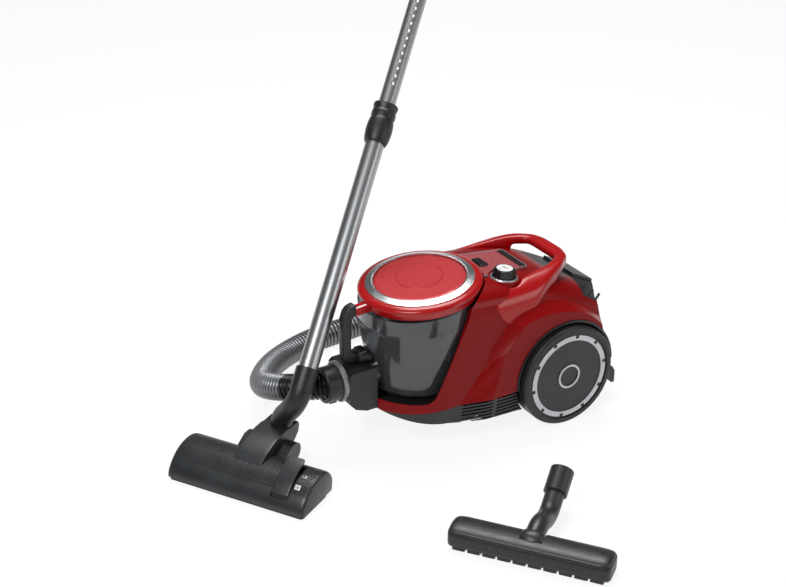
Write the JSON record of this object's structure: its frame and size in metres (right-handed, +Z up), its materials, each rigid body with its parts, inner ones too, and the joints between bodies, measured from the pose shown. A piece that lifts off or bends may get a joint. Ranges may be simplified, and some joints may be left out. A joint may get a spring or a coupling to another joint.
{
  "type": "canister vacuum cleaner",
  "caption": "Bagless canister vacuum cleaner with a clear dust bin, corrugated hose, telescopic wand, combination floor nozzle and hard-floor nozzle.",
  "frame": {"origin": "on the floor, under the middle of the rear axle", "axes": "+Z up; -X is the way the canister travels, the side with the hose inlet; +Y along the rear axle, so the power knob is on the -Y side"},
  "size_m": [0.9618, 1.0313, 0.8898],
  "materials": {
    "red_gloss": "glossy red enamelled moulding",
    "red_panel": "fine metallic red",
    "black_satin": "satin black moulding",
    "black_gloss": "glossy black",
    "anthracite": "fine-grained anthracite moulding",
    "light_grey": "light grey",
    "silver_paint": "satin silver",
    "chrome": "polished chrome",
    "steel_tube": "polished tube",
    "smoked_clear": "clear smoked bin",
    "dark_window": "dark window",
    "hose_grey": "grey corrugated hose",
    "tyre_rubber": "soft tread",
    "rubber": "seal rubber",
    "filter_fleece": "pleated filter fleece",
    "bristle": "bristles",
    "motor_metal": "cast motor case",
    "pin_metal": "plug pins and body",
    "screw_steel": "screws"
  },
  "bodies": {
    "canister": {"base_housing": "black_satin", "upper_housing": "red_gloss", "rear_panel": "black_satin", "carry_handle": "red_gloss", "control_panel": "red_panel", "panel_trim": "silver_paint", "status_window": "dark_window", "wheel_arch_trims": "black_satin", "inlet_block": "black_satin", "inlet_ring": "silver_paint", "plug_bay": "black_satin", "exhaust_filter": "filter_fleece", "motor_housing": "motor_metal", "motor_filter": "filter_fleece", "motor_mounts": "rubber", "axle_stubs": "screw_steel", "housing_screws": "screw_steel", "hose_cuff": "black_satin", "hose": "hose_grey", "grip_handle": "black_satin"},
    "fan": {"fan_rotor": "motor_metal"},
    "reel": {"cable_reel": "black_satin", "wound_cord": "rubber"},
    "plug": {"mains_plug": "black_satin"},
    "filter_cover": {"rear_cover": "black_gloss"},
    "knob": {"power_knob": "black_gloss", "knob_cap": "silver_paint"},
    "rewind": {"rewind_button": "black_satin"},
    "left_wheel": {"left_wheel_disc": "anthracite", "left_tyre": "tyre_rubber", "left_wheel_trims": "silver_paint"},
    "right_wheel": {"right_wheel_disc": "anthracite", "right_tyre": "tyre_rubber", "right_wheel_trims": "silver_paint"},
    "caster": {"caster_fork": "black_satin"},
    "caster_roller": {"caster_wheel": "black_satin"},
    "bin": {"dust_bin": "smoked_clear", "bin_handle": "black_satin"},
    "bin_button": {"bin_release_button": "light_grey"},
    "lid": {"bin_lid": "red_gloss", "lid_trim_ring": "chrome", "lid_disc": "red_gloss", "bin_gasket": "rubber", "filter_cartridge": "filter_fleece", "cyclone_shroud": "black_gloss"},
    "grip_slider": {"air_slider": "light_grey"},
    "floor_nozzle": {"nozzle_body": "anthracite", "nozzle_sole_plate": "black_satin"},
    "nozzle_wheels": {"nozzle_rollers": "rubber"},
    "pedal": {"nozzle_pedal": "anthracite"},
    "brush": {"brush_strip": "bristle"},
    "yoke": {"nozzle_yoke": "anthracite"},
    "wand": {"nozzle_elbow": "black_satin", "lower_tube": "steel_tube"},
    "collar": {"release_collar": "black_satin"},
    "wand_top_tube": {"upper_tube": "steel_tube"},
    "hard_floor_nozzle": {"hard_floor_body": "anthracite", "hard_floor_bristles": "bristle"},
    "neck": {"hard_floor_neck": "anthracite"},
    "sleeve": {"hard_floor_sleeve": "anthracite"}
  },
  "joints": [
    {"name": "left_wheel_spin", "type": "hinge", "parent": "canister", "child": "left_wheel", "pos_m": [0, -0.12, 0.0955], "axis": [0, 1, 0], "continuous": true},
    {"name": "right_wheel_spin", "type": "hinge", "parent": "canister", "child": "right_wheel", "pos_m": [0, 0.12, 0.0955], "axis": [0, 1, 0], "continuous": true},
    {"name": "caster_swivel", "type": "hinge", "parent": "canister", "child": "caster", "pos_m": [-0.228, 0, 0.05], "axis": [0, 0, 1], "continuous": true},
    {"name": "caster_roll", "type": "hinge", "parent": "caster", "child": "caster_roller", "pos_m": [-0.216, 0, 0.017], "axis": [0, 1, 0], "continuous": true},
    {"name": "fan_spin", "type": "hinge", "parent": "canister", "child": "fan", "pos_m": [-0.08, 0, 0.138], "axis": [1, 0, 0], "continuous": true},
    {"name": "reel_turn", "type": "hinge", "parent": "canister", "child": "reel", "pos_m": [0.074, 0, 0.108], "axis": [0, 1, 0], "range_deg": [0, 34.4]},
    {"name": "plug_pull", "type": "slide", "parent": "canister", "child": "plug", "axis": [0.6198, 0, 0.7848], "range_m": [0, 0.0302]},
    {"name": "cover_hinge", "type": "hinge", "parent": "canister", "child": "filter_cover", "pos_m": [0.10984, 0, 0.19972], "axis": [0, 1, 0], "range_deg": [0, 85]},
    {"name": "power_turn", "type": "hinge", "parent": "canister", "child": "knob", "pos_m": [-0.091, -0.06, 0.2815], "axis": [0.0819, 0, 0.9966], "range_deg": [0, 270]},
    {"name": "rewind_press", "type": "slide", "parent": "canister", "child": "rewind", "axis": [-0.0819, 0, -0.9966], "range_m": [0, 0.004], "stiffness_N_per_m": 500, "springref_m": -0.001},
    {"name": "bin_lift", "type": "slide", "parent": "canister", "child": "bin", "axis": [0, 0, 1], "range_m": [0, 0.2]},
    {"name": "lid_lift", "type": "slide", "parent": "bin", "child": "lid", "axis": [0, 0, 1], "range_m": [0, 0.18]},
    {"name": "bin_button_press", "type": "slide", "parent": "bin", "child": "bin_button", "axis": [0, 0, -1], "range_m": [0, 0.004], "stiffness_N_per_m": 500, "springref_m": -0.001},
    {"name": "air_slider_move", "type": "slide", "parent": "canister", "child": "grip_slider", "axis": [-1, 0, 0], "range_m": [0, 0.01]},
    {"name": "floor_nozzle_lift", "type": "slide", "parent": "canister", "child": "floor_nozzle", "axis": [0, 0, 1], "range_m": [0, 0.25]},
    {"name": "nozzle_wheel_roll", "type": "hinge", "parent": "floor_nozzle", "child": "nozzle_wheels", "pos_m": [-0.52516, 0.00315, 0.014], "axis": [0.5165, -0.8563, 0], "continuous": true},
    {"name": "pedal_rock", "type": "hinge", "parent": "floor_nozzle", "child": "pedal", "pos_m": [-0.54428, -0.10648, 0.041], "axis": [-0.5165, 0.8563, 0], "range_deg": [0, 12]},
    {"name": "brush_drop", "type": "slide", "parent": "floor_nozzle", "child": "brush", "axis": [0, 0, -1], "range_m": [0, 0.0041]},
    {"name": "yoke_tilt", "type": "hinge", "parent": "floor_nozzle", "child": "yoke", "pos_m": [-0.52002, 0.00625, 0.04], "axis": [0.5165, -0.8563, 0], "range_deg": [0, 22]},
    {"name": "elbow_swivel", "type": "hinge", "parent": "yoke", "child": "wand", "pos_m": [-0.49757, 0.01162, 0.06], "axis": [0, 0, 1], "range_deg": [-5, 0]},
    {"name": "collar_slide", "type": "slide", "parent": "wand", "child": "collar", "axis": [-0.5598, -0.4112, -0.7193], "range_m": [0, 0.006], "stiffness_N_per_m": 500, "springref_m": -0.002},
    {"name": "tube_slide", "type": "slide", "parent": "wand", "child": "wand_top_tube", "axis": [-0.5598, -0.4112, -0.7193], "range_m": [0, 0.3]},
    {"name": "hard_floor_lift", "type": "slide", "parent": "canister", "child": "hard_floor_nozzle", "axis": [0, 0, 1], "range_m": [0, 0.25]},
    {"name": "neck_tilt", "type": "hinge", "parent": "hard_floor_nozzle", "child": "neck", "pos_m": [-0.29241, -0.44579, 0.03], "axis": [0.6004, -0.7997, 0], "range_deg": [0, 38]},
    {"name": "sleeve_swivel", "type": "hinge", "parent": "neck", "child": "sleeve", "pos_m": [-0.19805, -0.37494, 0.047], "axis": [0.6999, 0.5255, 0.4837], "continuous": true}
  ],
  "couplings": [
    {"joint": "plug_pull", "follows": "reel_turn", "m_per_rad": 0.05},
    {"joint": "brush_drop", "follows": "pedal_rock", "m_per_rad": 0.019}
  ]
}
